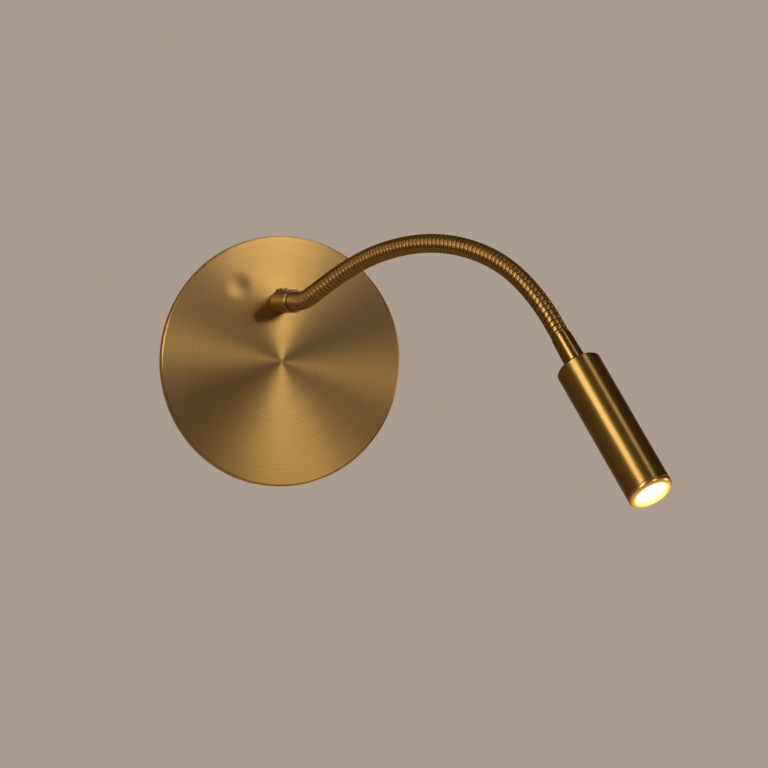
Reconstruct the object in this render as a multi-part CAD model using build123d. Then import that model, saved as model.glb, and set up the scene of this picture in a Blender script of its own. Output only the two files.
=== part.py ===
from build123d import *
import math
import os

# Wall reading lamp. Millimetres, +Z up. The wall is the plane y = 0 and the lamp comes out along -Y.
# The origin is the centre of the wall bracket's back face; the front plate is centred on x = 0, z = 0.

# Clearances
RUN = 0.05            # radial play of a fixed fit, such as a plug in a bore
BALL_PLAY = 0.10      # radial play of a neck ball in its socket
SHANK_PLAY = 0.25     # radial play of a screw or stud in a plain hole

# Wall bracket: a steel strap with a tab bent forward at each end
BRACKET_THICK = 1.5
BRACKET_HEIGHT = 34.0
TAB_DEPTH = 13.0
TAB_HEIGHT = 12.0
TAB_MARGIN = 1.0
WALL_HOLE_RADIUS = 2.25
WALL_HOLE_SPACING = 80.0
BRACKET_SHOULDER = 9.0
ENTRY_RADIUS = 7.0
GROMMET_BORE = 4.5
GROMMET_LIP = 2.0
GROMMET_LIP_DEPTH = 2.0

# Canopy: round steel box between the wall and the front plate
CANOPY_RADIUS = 58.5
CANOPY_DEPTH = 26.5
CANOPY_WALL = 1.5
CANOPY_EDGE = 1.0
CANOPY_SCREW_RADIUS = 1.5
CANOPY_SCREW_HEAD = 2.8
CANOPY_SCREW_HEAD_HEIGHT = 1.4
CANOPY_SCREW_LENGTH = 6.0

# Front plate: shallow brass pan
PLATE_RADIUS = 70.0
PLATE_THICK = 1.5
PLATE_RIM_DEPTH = 4.0
PLATE_EDGE = 1.2
DIMPLE_ANGLE = 120.8
DIMPLE_RADIUS = 6.2
DIMPLE_DEPTH = 1.0
BOSS_RADIUS = 7.0
BOSS_DEPTH = 1.0
BOSS_MARGIN = 1.1
STUD_RADIUS = 2.0
STUD_ANGLES = (25.0, 155.0, 270.0)
STUD_LENGTH = 7.5
PLATE_NUT_RADIUS = 3.5
PLATE_NUT_HEIGHT = 3.2
PLATE_NUT_MARGIN = 2.0

# Collar, nipple and their fastenings
NECK_X = 0.0
NECK_Z = 33.5
COLLAR_RADIUS = 6.5
COLLAR_LENGTH = 23.0
COLLAR_CHAMFER = 0.6
NIPPLE_RADIUS = 5.0
NIPPLE_BORE = 3.0
NIPPLE_IN_COLLAR = 8.5
NIPPLE_INSIDE = 9.0
LOCK_WASHER_RADIUS = 8.5
LOCK_WASHER_THICK = 0.8
NIPPLE_NUT_RADIUS = 8.0
NIPPLE_NUT_HEIGHT = 3.5
COLLAR_SCREW_RADIUS = 1.5
COLLAR_SCREW_HEAD = 2.2
COLLAR_SCREW_HEAD_HEIGHT = 0.9
COLLAR_SCREW_OFFSET = 4.2

# Gooseneck: wound tube, its middle line from the collar's mouth to the ferrule, as (x, out of the wall, z)
NECK_POINTS = (
    (0.0, 0.0, 0.0),
    (1.2, 32.5, 4.5),
    (9.0, 58.0, 15.6),
    (19.6, 106.0, 27.3),
    (33.0, 151.0, 29.4),
    (48.2, 190.5, 19.6),
    (57.6, 220.5, 1.2),
    (64.4, 238.3, -19.0),
)
NECK_START = (0.0, 1.0, 0.0)
NECK_FINISH = (0.238, 0.598, -0.7655)
NECK_RADIUS = 5.0
GROOVE_DEPTH = 0.6
GROOVE_WIDTH = 0.9
NECK_BORE = 2.3
NECK_STRAIGHT = 2 * NECK_RADIUS
PLUG_RADIUS = 5.3
END_RIBS = 3
LINK_RIBS = 6
LINKS = 13
BALL_RADIUS = 3.85
BALL_REACH = 1.5
HINGE_GAP = 1.5
LEAD_RADIUS = 1.6
LEAD_GAP = 1.0

# Ferrule and head, placed along the end of the neck
FERRULE_RADIUS = 5.9
FERRULE_MOUTH_RADIUS = 5.3
FERRULE_LENGTH = 19.5
FERRULE_SOCKET = 8.2
FERRULE_CHAMFER = 0.25
NECK_PLUG_RADIUS = 4.6
TAIL_RADIUS = 4.0
TAIL_LENGTH = 7.5
FERRULE_NUT_RADIUS = 6.5
FERRULE_NUT_HEIGHT = 3.5
HEAD_RADIUS = 12.0
HEAD_LENGTH = 80.0
HEAD_BACK = 2.0
HEAD_CHAMFER = 0.8
HEAD_BORE = 10.2
HEAD_FRONT_BORE = 10.9
HEAT_SINK_LENGTH = 28.0
HEAT_SINK_FINS = 6
HEAT_SINK_CORE = 7.0
LED_BOARD_RADIUS = 9.6
LED_BOARD_THICK = 1.6
BOARD_SCREW_LENGTH = 4.6
BOARD_SCREW_HEAD = 1.6
BOARD_SCREW_HEAD_HEIGHT = 0.6
LED_CHIP_RADIUS = 4.0
LED_CHIP_HEIGHT = 1.0
BEZEL_LENGTH = 3.0
BEZEL_CHAMFER = 1.3
SPIGOT_LENGTH = 6.0
SPIGOT_WALL = 0.5
SPIGOT_GAP = 4.0
LIP_THICK = 1.1
LENS_RADIUS = 10.1
WINDOW_RADIUS = 9.6
LENS_THICK = 1.6
GASKET_THICK = 0.4
REFLECTOR_WALL = 0.6
REFLECTOR_FOOT = 4.5

# Electrics inside the canopy
DRIVER_WIDTH = 54.0
DRIVER_HEIGHT = 30.0
DRIVER_DEPTH = 16.0
DRIVER_MARGIN = 4.2
DRIVER_WALL = 1.4
LID_RIB = 1.2
DRIVER_EAR = 8.0
DRIVER_EAR_THICK = 2.0
TRANSFORMER_SIDE = 15.0
TRANSFORMER_HEIGHT = 9.0
CAPACITOR_RADIUS = 4.0
CAPACITOR_HEIGHT = 8.0
CAPACITOR_SPREAD = 17.0
BLOCK_WIDTH = 27.0
BLOCK_HEIGHT = 14.0
BLOCK_DEPTH = 12.0
BLOCK_POLES = 3
POLE_PITCH = 8.0
WIRE_HOLE = 1.6
WIRE_RADIUS = 0.9
TERMINAL_SCREW_RADIUS = 1.4
BOARD_THICK = 1.6
TOUCH_BOARD_WIDTH = 20.0
TOUCH_BOARD_HEIGHT = 18.0
TOUCH_BOARD_RIGHT = 1.0
TOUCH_BOARD_DOWN = 7.0
TOUCH_CHIP_SIDE = 6.0
TOUCH_CHIP_HEIGHT = 1.5
TOUCH_PIN_RADIUS = 0.8
TOUCH_PIN_SOCKET_RADIUS = 1.5
TOUCH_PIN_SOCKET_LENGTH = 2.5
STANDOFF_RADIUS = 2.2
STANDOFF_HEIGHT = 5.0
SMALL_SCREW_RADIUS = 1.1
SMALL_HEAD_RADIUS = 2.0
SMALL_HEAD_HEIGHT = 1.2
SLOT_WIDTH = 0.6
SLOT_DEPTH = 0.5
LEAD_HEIGHT = 6.5
LEAD_LOOP_HEIGHT = 17.5
OUTPUT_X = 21.0
OUTPUT_RADII = (9.0, 6.0, 5.5)
OUTPUT_RISE = 24.0
OUTPUT_SIDE = 12.0
OUTPUT_DROP = 6.0
EARTH_X = 26.0
EARTH_Z = 22.0
EARTH_WASHER_RADIUS = 4.0
EARTH_WASHER_THICK = 0.8
EARTH_TONGUE = 8.5
EARTH_RADII = (5.0, 2.2)
EARTH_CLIMB = 9.0
EARTH_STRAIGHT = 3.0
EARTH_CRIMP = 2.0
TOUCH_LEAD_RADII = (6.0, 6.0)
TOUCH_LEAD_TOP = 3.0
TOUCH_LEAD_HANG = 6.0
TOUCH_LEAD_ENTRY = 8.0
EARTH_SCREW_RADIUS = 2.0
EARTH_HEAD_RADIUS = 3.5
EARTH_HEAD_HEIGHT = 2.4

# Planes worked out from the sizes above, along the way out of the wall
PLATE_FRONT = -(CANOPY_DEPTH + PLATE_THICK)
CANOPY_FLOOR = -(CANOPY_DEPTH - CANOPY_WALL)
COLLAR_MOUTH = PLATE_FRONT - COLLAR_LENGTH
NIPPLE_BACK = CANOPY_FLOOR + NIPPLE_INSIDE
NIPPLE_FRONT = PLATE_FRONT - NIPPLE_IN_COLLAR

# Places worked out from the canopy's inside
CANOPY_INSIDE = CANOPY_RADIUS - CANOPY_WALL
STUD_CIRCLE = CANOPY_INSIDE - PLATE_NUT_RADIUS - PLATE_NUT_MARGIN
DIMPLE_CIRCLE = CANOPY_INSIDE - BOSS_RADIUS - BOSS_MARGIN
DIMPLE_X = DIMPLE_CIRCLE * math.cos(math.radians(DIMPLE_ANGLE))
DIMPLE_Z = DIMPLE_CIRCLE * math.sin(math.radians(DIMPLE_ANGLE))
TOUCH_BOARD_X = DIMPLE_X + TOUCH_BOARD_RIGHT
TOUCH_BOARD_Z = DIMPLE_Z - TOUCH_BOARD_DOWN
DRIVER_BOTTOM = DRIVER_MARGIN - math.sqrt(CANOPY_INSIDE**2 - (DRIVER_WIDTH / 2)**2)
DRIVER_TOP = DRIVER_BOTTOM + DRIVER_HEIGHT
DRIVER_Z = DRIVER_BOTTOM + DRIVER_HEIGHT / 2
DRIVER_BACK = CANOPY_FLOOR + DRIVER_DEPTH
DRIVER_LID_BACK = DRIVER_BACK + DRIVER_WALL
BLOCK_BACK = CANOPY_FLOOR + BLOCK_DEPTH
TOUCH_BOARD_BACK = CANOPY_FLOOR + STANDOFF_HEIGHT + BOARD_THICK
LEAD_Y = CANOPY_FLOOR + LEAD_HEIGHT
LEAD_LOOP_Y = CANOPY_FLOOR + LEAD_LOOP_HEIGHT

OUT = (0.0, -1.0, 0.0)
UP = Vector(0.0, 0.0, 1.0)


def out_plane(x, y, z):
    """Work plane facing out of the wall, with its own x along the row's X."""
    return Plane(origin=(x, y, z), x_dir=(1, 0, 0), z_dir=OUT)


def rod(x, y, z, radius, length):
    """Round bar that starts at y and runs out of the wall."""
    return extrude(out_plane(x, y, z) * Circle(radius), amount=length)


def block(x_range, y_range, z_range):
    """Box between two corners."""
    sizes = [high - low for low, high in (x_range, y_range, z_range)]
    middle = [(low + high) / 2 for low, high in (x_range, y_range, z_range)]
    return Pos(*middle) * Box(*sizes)


def hex_nut(plane, radius, bore, height):
    """Hexagon nut on a work plane, standing along its normal."""
    return extrude(plane * (RegularPolygon(radius, 6) - Circle(bore)), amount=height)


def save(shape, name):
    export_step(shape, os.path.join("parts", name + ".step"))


# ---------------------------------------------------------------- gooseneck path

def make_neck_path():
    """The gooseneck's centre-line: a bend between two straight ends, from the collar's mouth to the head."""
    places = [Vector(NECK_X + x, COLLAR_MOUTH - out, NECK_Z + z) for x, out, z in NECK_POINTS]
    leave = Vector(NECK_START[0], -NECK_START[1], NECK_START[2]).normalized()
    arrive = Vector(NECK_FINISH[0], -NECK_FINISH[1], NECK_FINISH[2]).normalized()
    bend_start = places[0] + leave * NECK_STRAIGHT
    bend_end = places[-1] - arrive * NECK_STRAIGHT
    middles = places[1:-1]
    bend = Spline(bend_start, *middles, bend_end, tangents=[leave, arrive], tangent_scalars=[1.0, 1.0])
    return Wire([Line(places[0], bend_start), bend, Line(bend_end, places[-1])])


neck_path = make_neck_path()
RIBS = 2 * END_RIBS + LINKS * LINK_RIBS
RIB_PITCH = neck_path.length / RIBS


def neck_plane(station):
    """Plane across the neck at a length along it; its x stays level, so rib circles never twist."""
    point = neck_path.position_at(station, position_mode=PositionMode.LENGTH)
    along = neck_path.tangent_at(station, position_mode=PositionMode.LENGTH)
    return Plane(origin=point, x_dir=along.cross(UP).normalized(), z_dir=along)


def hinge_station(index):
    """Length along the neck of hinge number index, counted from the wall."""
    return (END_RIBS + index * LINK_RIBS) * RIB_PITCH


def hinge_axis(index):
    """Hinges take turns: even ones lift the head, odd ones swing it to +X."""
    plane = neck_plane(hinge_station(index))
    return plane.x_dir if index % 2 == 0 else plane.y_dir * -1


head_plane = neck_plane(neck_path.length)


def neck_rings(start, finish, open_start, open_finish):
    """Stations and radii of the circles through a stretch of ribs: four to a rib, shared in the grooves."""
    rings = []
    count = round((finish - start) / RIB_PITCH)
    for rib in range(count):
        low = start + rib * RIB_PITCH
        high = low + RIB_PITCH
        if rib == 0 and open_start:
            low += HINGE_GAP / 2
        if rib == count - 1 and open_finish:
            high -= HINGE_GAP / 2
        if rib == 0:
            rings.append((low, NECK_RADIUS - GROOVE_DEPTH))
        rings.append((low + GROOVE_WIDTH / 2, NECK_RADIUS))
        rings.append((high - GROOVE_WIDTH / 2, NECK_RADIUS))
        rings.append((high, NECK_RADIUS - GROOVE_DEPTH))
    return rings


def ruled_tube(rings):
    """Ruled loft through circles across the neck."""
    return loft([neck_plane(station) * Circle(radius) for station, radius in rings], ruled=True)


def lead_stretch(start, finish):
    """Lead inside the neck, as short straight runs along its middle line."""
    count = max(2, round((finish - start) / RIB_PITCH))
    step = (finish - start) / count
    return ruled_tube([(start + number * step, LEAD_RADIUS) for number in range(count + 1)])


def neck_bore(start, finish):
    """Bore along a stretch of neck."""
    count = max(2, round((finish - start) / RIB_PITCH))
    step = (finish - start) / count
    return ruled_tube([(start + number * step, NECK_BORE) for number in range(count + 1)])


def ball(index):
    """Ball on a hinge centre, cut flat past the hinge so that the lead can bend in its mouth."""
    plane = neck_plane(hinge_station(index))
    whole = plane * Sphere(BALL_RADIUS)
    cap = extrude(plane.offset(BALL_REACH) * Circle(NECK_RADIUS), amount=NECK_RADIUS)
    return whole - cap


def socket(index):
    """Hollow that a ball turns in."""
    return neck_plane(hinge_station(index)) * Sphere(BALL_RADIUS + BALL_PLAY)


def make_neck_base():
    """First length: a plug held in the collar, a few ribs and the first ball."""
    first = hinge_station(0)
    plug_length = COLLAR_LENGTH - NIPPLE_IN_COLLAR
    plug = rod(NECK_X, NIPPLE_FRONT, NECK_Z, PLUG_RADIUS, plug_length)
    ribs = ruled_tube(neck_rings(0.0, first, False, True))
    body = plug + ribs + ball(0)
    body -= rod(NECK_X, NIPPLE_FRONT, NECK_Z, NECK_BORE, plug_length)
    body -= neck_bore(0.0, first + BALL_RADIUS)
    return body, lead_stretch(0.0, first - LEAD_GAP / 2)


def make_neck_link(index):
    """Length between hinge index - 1 and hinge index: socket behind, ball in front."""
    start = hinge_station(index - 1)
    finish = hinge_station(index)
    body = ruled_tube(neck_rings(start, finish, True, True)) + ball(index)
    body -= socket(index - 1)
    body -= neck_bore(start + BALL_RADIUS / 2, finish + BALL_RADIUS)
    return body, lead_stretch(start + LEAD_GAP / 2, finish - LEAD_GAP / 2)


def make_neck_end():
    """Last length: a socket, a few ribs and a plug in the ferrule."""
    start = hinge_station(LINKS)
    plug_length = FERRULE_SOCKET - RUN
    body = ruled_tube(neck_rings(start, neck_path.length, True, False))
    body += extrude(head_plane * Circle(NECK_PLUG_RADIUS), amount=plug_length)
    body -= socket(LINKS)
    body -= neck_bore(start + BALL_RADIUS / 2, neck_path.length)
    body -= extrude(head_plane * Circle(NECK_BORE), amount=plug_length)
    return body, lead_stretch(start + LEAD_GAP / 2, neck_path.length)


# ---------------------------------------------------------------- wall side

def make_wall_bracket():
    """Strap against the wall with a screw tab bent forward at each end."""
    tab_face = CANOPY_INSIDE - TAB_MARGIN
    strap = block((-tab_face, tab_face), (-BRACKET_THICK, 0.0), (-TAB_HEIGHT / 2, TAB_HEIGHT / 2))
    middle = WALL_HOLE_SPACING / 2 + BRACKET_SHOULDER
    strap += block((-middle, middle), (-BRACKET_THICK, 0.0), (-BRACKET_HEIGHT / 2, BRACKET_HEIGHT / 2))
    for side in (-1, 1):
        outer = side * tab_face
        inner = side * (tab_face - BRACKET_THICK)
        low, high = min(outer, inner), max(outer, inner)
        strap += block((low, high), (-TAB_DEPTH, 0.0), (-TAB_HEIGHT / 2, TAB_HEIGHT / 2))
        hole = Plane(origin=(0, canopy_screw_y(), 0), x_dir=(0, 1, 0), z_dir=(side, 0, 0))
        strap -= extrude(hole * Circle(CANOPY_SCREW_RADIUS + RUN), amount=tab_face)
        strap -= rod(side * WALL_HOLE_SPACING / 2, 0.0, 0.0, WALL_HOLE_RADIUS, BRACKET_THICK)
    return strap - rod(0.0, 0.0, 0.0, ENTRY_RADIUS, BRACKET_THICK)


def canopy_screw_y():
    """Height of the side screws above the wall: the middle of the tabs' free part."""
    return -(BRACKET_THICK + TAB_DEPTH) / 2


def make_canopy_screws():
    """Two screws through the canopy's side into the bracket's tabs."""
    screws = []
    for side in (-1, 1):
        start = Plane(origin=(side * CANOPY_RADIUS, canopy_screw_y(), 0), x_dir=(0, 1, 0), z_dir=(side, 0, 0))
        head = extrude(start * Circle(CANOPY_SCREW_HEAD), amount=CANOPY_SCREW_HEAD_HEIGHT)
        shank = extrude(start * Circle(CANOPY_SCREW_RADIUS), amount=-CANOPY_SCREW_LENGTH)
        slot = start.offset(CANOPY_SCREW_HEAD_HEIGHT) * Box(SLOT_WIDTH, 2 * CANOPY_SCREW_HEAD, 2 * SLOT_DEPTH)
        screws.append(head + shank - slot)
    return screws


def stud_places():
    return [
        (STUD_CIRCLE * math.cos(math.radians(angle)), STUD_CIRCLE * math.sin(math.radians(angle)))
        for angle in STUD_ANGLES
    ]


def make_canopy():
    """Round box, open to the wall, with holes for nipple, studs, touch boss and side screws."""
    body = rod(0.0, 0.0, 0.0, CANOPY_RADIUS, CANOPY_DEPTH)
    body = fillet(body.edges().filter_by(GeomType.CIRCLE).sort_by(Axis.Y)[0], CANOPY_EDGE)
    body -= rod(0.0, 0.0, 0.0, CANOPY_RADIUS - CANOPY_WALL, CANOPY_DEPTH - CANOPY_WALL)
    body -= rod(NECK_X, 0.0, NECK_Z, NIPPLE_RADIUS + RUN, CANOPY_DEPTH)
    body -= rod(DIMPLE_X, 0.0, DIMPLE_Z, BOSS_RADIUS + SHANK_PLAY, CANOPY_DEPTH)
    for x, z in stud_places():
        body -= rod(x, 0.0, z, STUD_RADIUS + SHANK_PLAY, CANOPY_DEPTH)
    for side in (-1, 1):
        hole = Plane(origin=(0, canopy_screw_y(), 0), x_dir=(0, 1, 0), z_dir=(side, 0, 0))
        body -= extrude(hole * Circle(CANOPY_SCREW_RADIUS + SHANK_PLAY), amount=2 * CANOPY_RADIUS)
    return body


def make_grommet():
    """Bush in the bracket's entry hole, with a lip in front and nothing behind the wall face."""
    body = rod(0.0, 0.0, 0.0, ENTRY_RADIUS - RUN, BRACKET_THICK)
    body += rod(0.0, -BRACKET_THICK, 0.0, ENTRY_RADIUS + GROMMET_LIP, GROMMET_LIP_DEPTH)
    return body - rod(0.0, 0.0, 0.0, GROMMET_BORE, BRACKET_THICK + GROMMET_LIP_DEPTH)


# ---------------------------------------------------------------- front plate, collar and nipple

def make_front_plate():
    """Shallow pan with a pressed finger dimple."""
    plate = rod(0.0, PLATE_FRONT + PLATE_RIM_DEPTH, 0.0, PLATE_RADIUS, PLATE_RIM_DEPTH)
    plate = fillet(plate.edges().filter_by(GeomType.CIRCLE).sort_by(Axis.Y)[0], PLATE_EDGE)
    hollow = PLATE_RIM_DEPTH - PLATE_THICK
    plate -= rod(0.0, PLATE_FRONT + PLATE_RIM_DEPTH, 0.0, PLATE_RADIUS - PLATE_THICK, hollow)
    boss_back = PLATE_FRONT + PLATE_THICK + BOSS_DEPTH
    plate += rod(DIMPLE_X, boss_back, DIMPLE_Z, BOSS_RADIUS, BOSS_DEPTH)
    ball_radius = (DIMPLE_RADIUS**2 + DIMPLE_DEPTH**2) / (2 * DIMPLE_DEPTH)
    plate -= Pos(DIMPLE_X, PLATE_FRONT + DIMPLE_DEPTH - ball_radius, DIMPLE_Z) * Sphere(ball_radius)
    return plate - rod(NECK_X, 0.0, NECK_Z, NIPPLE_RADIUS + RUN, -PLATE_FRONT)


def make_plate_studs():
    """Studs welded to the back of the plate."""
    back = PLATE_FRONT + PLATE_THICK
    return [rod(x, back + STUD_LENGTH, z, STUD_RADIUS, STUD_LENGTH) for x, z in stud_places()]


def make_plate_nuts():
    """Nuts on the studs, inside the canopy."""
    nuts = []
    for x, z in stud_places():
        plane = out_plane(x, CANOPY_FLOOR + PLATE_NUT_HEIGHT, z)
        nuts.append(hex_nut(plane, PLATE_NUT_RADIUS, STUD_RADIUS + RUN, PLATE_NUT_HEIGHT))
    return nuts


def make_collar():
    """Brass cylinder, threaded on the nipple, that takes the neck's plug."""
    body = rod(NECK_X, PLATE_FRONT, NECK_Z, COLLAR_RADIUS, COLLAR_LENGTH)
    body = chamfer(body.edges().filter_by(GeomType.CIRCLE).sort_by(Axis.Y)[0], COLLAR_CHAMFER)
    body -= rod(NECK_X, PLATE_FRONT, NECK_Z, NIPPLE_RADIUS + RUN, NIPPLE_IN_COLLAR)
    body -= rod(NECK_X, NIPPLE_FRONT, NECK_Z, PLUG_RADIUS + RUN, COLLAR_LENGTH)
    return body - collar_screw_bar(COLLAR_SCREW_RADIUS + RUN, COLLAR_RADIUS)


def collar_screw_bar(radius, height):
    """Upright bar above the neck's middle line, where the collar's screw goes."""
    middle = (NECK_X, PLATE_FRONT - COLLAR_SCREW_OFFSET, NECK_Z)
    plane = Plane(origin=middle, x_dir=(1, 0, 0), z_dir=(0, 0, 1))
    return extrude(plane * Circle(radius), amount=height)


def make_collar_screw():
    """Screw on top of the collar, down to the nipple."""
    top = COLLAR_RADIUS + COLLAR_SCREW_HEAD_HEIGHT
    screw = collar_screw_bar(COLLAR_SCREW_HEAD, top) - collar_screw_bar(COLLAR_SCREW_HEAD, COLLAR_RADIUS)
    screw += collar_screw_bar(COLLAR_SCREW_RADIUS, COLLAR_RADIUS)
    screw -= collar_screw_bar(COLLAR_SCREW_HEAD, NIPPLE_RADIUS)
    slot_place = Pos(NECK_X, PLATE_FRONT - COLLAR_SCREW_OFFSET, NECK_Z + top)
    return screw - slot_place * Box(SLOT_WIDTH, 2 * COLLAR_SCREW_HEAD, 2 * SLOT_DEPTH)


def make_nipple():
    """Threaded tube from inside the canopy into the collar."""
    length = NIPPLE_BACK - NIPPLE_FRONT
    body = rod(NECK_X, NIPPLE_BACK, NECK_Z, NIPPLE_RADIUS, length)
    return body - rod(NECK_X, NIPPLE_BACK, NECK_Z, NIPPLE_BORE, length)


def make_lock_washer():
    """Washer under the nipple's nut."""
    back = CANOPY_FLOOR + LOCK_WASHER_THICK
    washer = rod(NECK_X, back, NECK_Z, LOCK_WASHER_RADIUS, LOCK_WASHER_THICK)
    return washer - rod(NECK_X, back, NECK_Z, NIPPLE_RADIUS + RUN, LOCK_WASHER_THICK)


def make_nipple_nut():
    """Nut that pulls collar and canopy together."""
    back = CANOPY_FLOOR + LOCK_WASHER_THICK + NIPPLE_NUT_HEIGHT
    return hex_nut(out_plane(NECK_X, back, NECK_Z), NIPPLE_NUT_RADIUS, NIPPLE_RADIUS + RUN, NIPPLE_NUT_HEIGHT)


# ---------------------------------------------------------------- electrics in the canopy

def driver_box(shrink, back, front):
    """Box in the driver's place, shrunk all round, between two planes."""
    half_width = DRIVER_WIDTH / 2 - shrink
    half_height = DRIVER_HEIGHT / 2 - shrink
    return block((-half_width, half_width), (front, back), (DRIVER_Z - half_height, DRIVER_Z + half_height))


def driver_screw_places():
    reach = DRIVER_WIDTH / 2 + DRIVER_EAR / 2
    return [(-reach, DRIVER_Z + DRIVER_EAR), (reach, DRIVER_Z + DRIVER_EAR)]


def make_driver_case():
    """Moulded tray with a screw ear on each side, open to the wall."""
    case = driver_box(0.0, DRIVER_BACK, CANOPY_FLOOR)
    for x, z in driver_screw_places():
        low, high = sorted((x - math.copysign(DRIVER_EAR / 2, x), x + math.copysign(DRIVER_EAR / 2, x)))
        ear_z = (z - DRIVER_EAR / 2, z + DRIVER_EAR / 2)
        case += block((low, high), (CANOPY_FLOOR, CANOPY_FLOOR + DRIVER_EAR_THICK), ear_z)
    case -= driver_box(DRIVER_WALL, DRIVER_BACK, CANOPY_FLOOR + DRIVER_WALL)
    for x, z in driver_screw_places():
        case -= rod(x, 0.0, z, SMALL_SCREW_RADIUS + SHANK_PLAY, CANOPY_DEPTH)
    case -= wire_hole(OUTPUT_X, LEAD_RADIUS)
    for x in pole_places()[:2] + [TOUCH_BOARD_X]:
        case -= wire_hole(x, WIRE_RADIUS)
    return case


def wire_hole(x, radius):
    """Hole through the driver's top wall for a lead."""
    plane = Plane(origin=(x, LEAD_Y, DRIVER_TOP + DRIVER_WALL), x_dir=(1, 0, 0), z_dir=(0, 0, -1))
    return extrude(plane * Circle(radius + RUN), amount=3 * DRIVER_WALL)


def make_driver_lid():
    """Flat lid on the driver's tray, with a rib that locates it."""
    lid = driver_box(0.0, DRIVER_LID_BACK, DRIVER_BACK)
    rib = driver_box(DRIVER_WALL + RUN, DRIVER_BACK, DRIVER_BACK - LID_RIB)
    rib -= driver_box(2 * DRIVER_WALL, DRIVER_BACK, DRIVER_BACK - LID_RIB)
    return lid + rib


def make_driver_board():
    """Circuit board on a step in the tray, with its larger components."""
    back = CANOPY_FLOOR + DRIVER_WALL + BOARD_THICK
    board = driver_box(DRIVER_WALL + RUN, back, back - BOARD_THICK)
    half = TRANSFORMER_SIDE / 2
    board += block((-half, half), (back, back + TRANSFORMER_HEIGHT), (DRIVER_Z - half, DRIVER_Z + half))
    for x in (-CAPACITOR_SPREAD, CAPACITOR_SPREAD):
        top = back + CAPACITOR_HEIGHT
        board += rod(x, top, DRIVER_Z - CAPACITOR_RADIUS, CAPACITOR_RADIUS, CAPACITOR_HEIGHT)
    return board


def screw_out(x, z, seat, shank_radius, head_radius, head_height, length):
    """Screw whose head lies on the wall side of the plane y = seat and whose shank runs outwards."""
    head = rod(x, seat + head_height, z, head_radius, head_height)
    slot_y = (seat + head_height - SLOT_DEPTH, seat + head_height)
    slot = block((x - head_radius, x + head_radius), slot_y, (z - SLOT_WIDTH / 2, z + SLOT_WIDTH / 2))
    return head + rod(x, seat, z, shank_radius, length) - slot


def make_driver_screws():
    """Screws through the driver's ears, down to the canopy's floor."""
    seat = CANOPY_FLOOR + DRIVER_EAR_THICK
    return [
        screw_out(x, z, seat, SMALL_SCREW_RADIUS, SMALL_HEAD_RADIUS, SMALL_HEAD_HEIGHT, DRIVER_EAR_THICK)
        for x, z in driver_screw_places()
    ]


def pole_places():
    return [(number - (BLOCK_POLES - 1) / 2) * POLE_PITCH for number in range(BLOCK_POLES)]


def make_terminal_block():
    """Three-pole block: a wire hole runs up through each pole, a screw comes in from the wall side."""
    half_width = BLOCK_WIDTH / 2
    half_height = BLOCK_HEIGHT / 2
    body = block((-half_width, half_width), (CANOPY_FLOOR, BLOCK_BACK), (-half_height, half_height))
    for x in pole_places():
        tunnel = Plane(origin=(x, LEAD_Y, -half_height), x_dir=(1, 0, 0), z_dir=(0, 0, 1))
        body -= extrude(tunnel * Circle(WIRE_HOLE), amount=BLOCK_HEIGHT)
        body -= rod(x, BLOCK_BACK, 0.0, TERMINAL_SCREW_RADIUS + RUN, BLOCK_BACK - LEAD_Y)
    for x in block_screw_places():
        body -= rod(x, BLOCK_BACK, 0.0, SMALL_SCREW_RADIUS + SHANK_PLAY, BLOCK_DEPTH)
    return body


def block_screw_places():
    return [-POLE_PITCH / 2, POLE_PITCH / 2]


def make_block_screws():
    """Screws that hold the terminal block on the canopy's floor."""
    return [
        screw_out(x, 0.0, BLOCK_BACK, SMALL_SCREW_RADIUS, SMALL_HEAD_RADIUS, SMALL_HEAD_HEIGHT, BLOCK_DEPTH)
        for x in block_screw_places()
    ]


def make_terminal_screws():
    """One clamping screw in each pole, stopped above the wire."""
    length = BLOCK_BACK - LEAD_Y - WIRE_RADIUS - RUN
    return [rod(x, BLOCK_BACK, 0.0, TERMINAL_SCREW_RADIUS, length) for x in pole_places()]


def touch_corners():
    """Places of the touch board's three standoffs; its fourth corner is left to the pin."""
    dx = TOUCH_BOARD_WIDTH / 2 - STANDOFF_RADIUS
    dz = TOUCH_BOARD_HEIGHT / 2 - STANDOFF_RADIUS
    signs = ((-1, -1), (1, -1), (1, 1))
    return [(TOUCH_BOARD_X + sx * dx, TOUCH_BOARD_Z + sz * dz) for sx, sz in signs]


def make_touch_board():
    """Dimmer board behind the dimple."""
    half_width = TOUCH_BOARD_WIDTH / 2
    half_height = TOUCH_BOARD_HEIGHT / 2
    front = TOUCH_BOARD_BACK - BOARD_THICK
    x_range = (TOUCH_BOARD_X - half_width, TOUCH_BOARD_X + half_width)
    z_range = (TOUCH_BOARD_Z - half_height, TOUCH_BOARD_Z + half_height)
    board = block(x_range, (front, TOUCH_BOARD_BACK), z_range)
    chip_x = (TOUCH_BOARD_X, TOUCH_BOARD_X + TOUCH_CHIP_SIDE)
    chip_z = (TOUCH_BOARD_Z - TOUCH_CHIP_SIDE / 2, TOUCH_BOARD_Z + TOUCH_CHIP_SIDE / 2)
    board += block(chip_x, (TOUCH_BOARD_BACK, TOUCH_BOARD_BACK + TOUCH_CHIP_HEIGHT), chip_z)
    for x, z in touch_corners():
        board -= rod(x, 0.0, z, SMALL_SCREW_RADIUS + RUN, CANOPY_DEPTH)
    return board


def make_touch_standoffs():
    """Pillars between the canopy's floor and the touch board."""
    pillars = []
    for x, z in touch_corners():
        pillar = rod(x, CANOPY_FLOOR + STANDOFF_HEIGHT, z, STANDOFF_RADIUS, STANDOFF_HEIGHT)
        hole = rod(x, CANOPY_FLOOR + STANDOFF_HEIGHT, z, SMALL_SCREW_RADIUS + RUN, STANDOFF_HEIGHT)
        pillars.append(pillar - hole)
    return pillars


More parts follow.
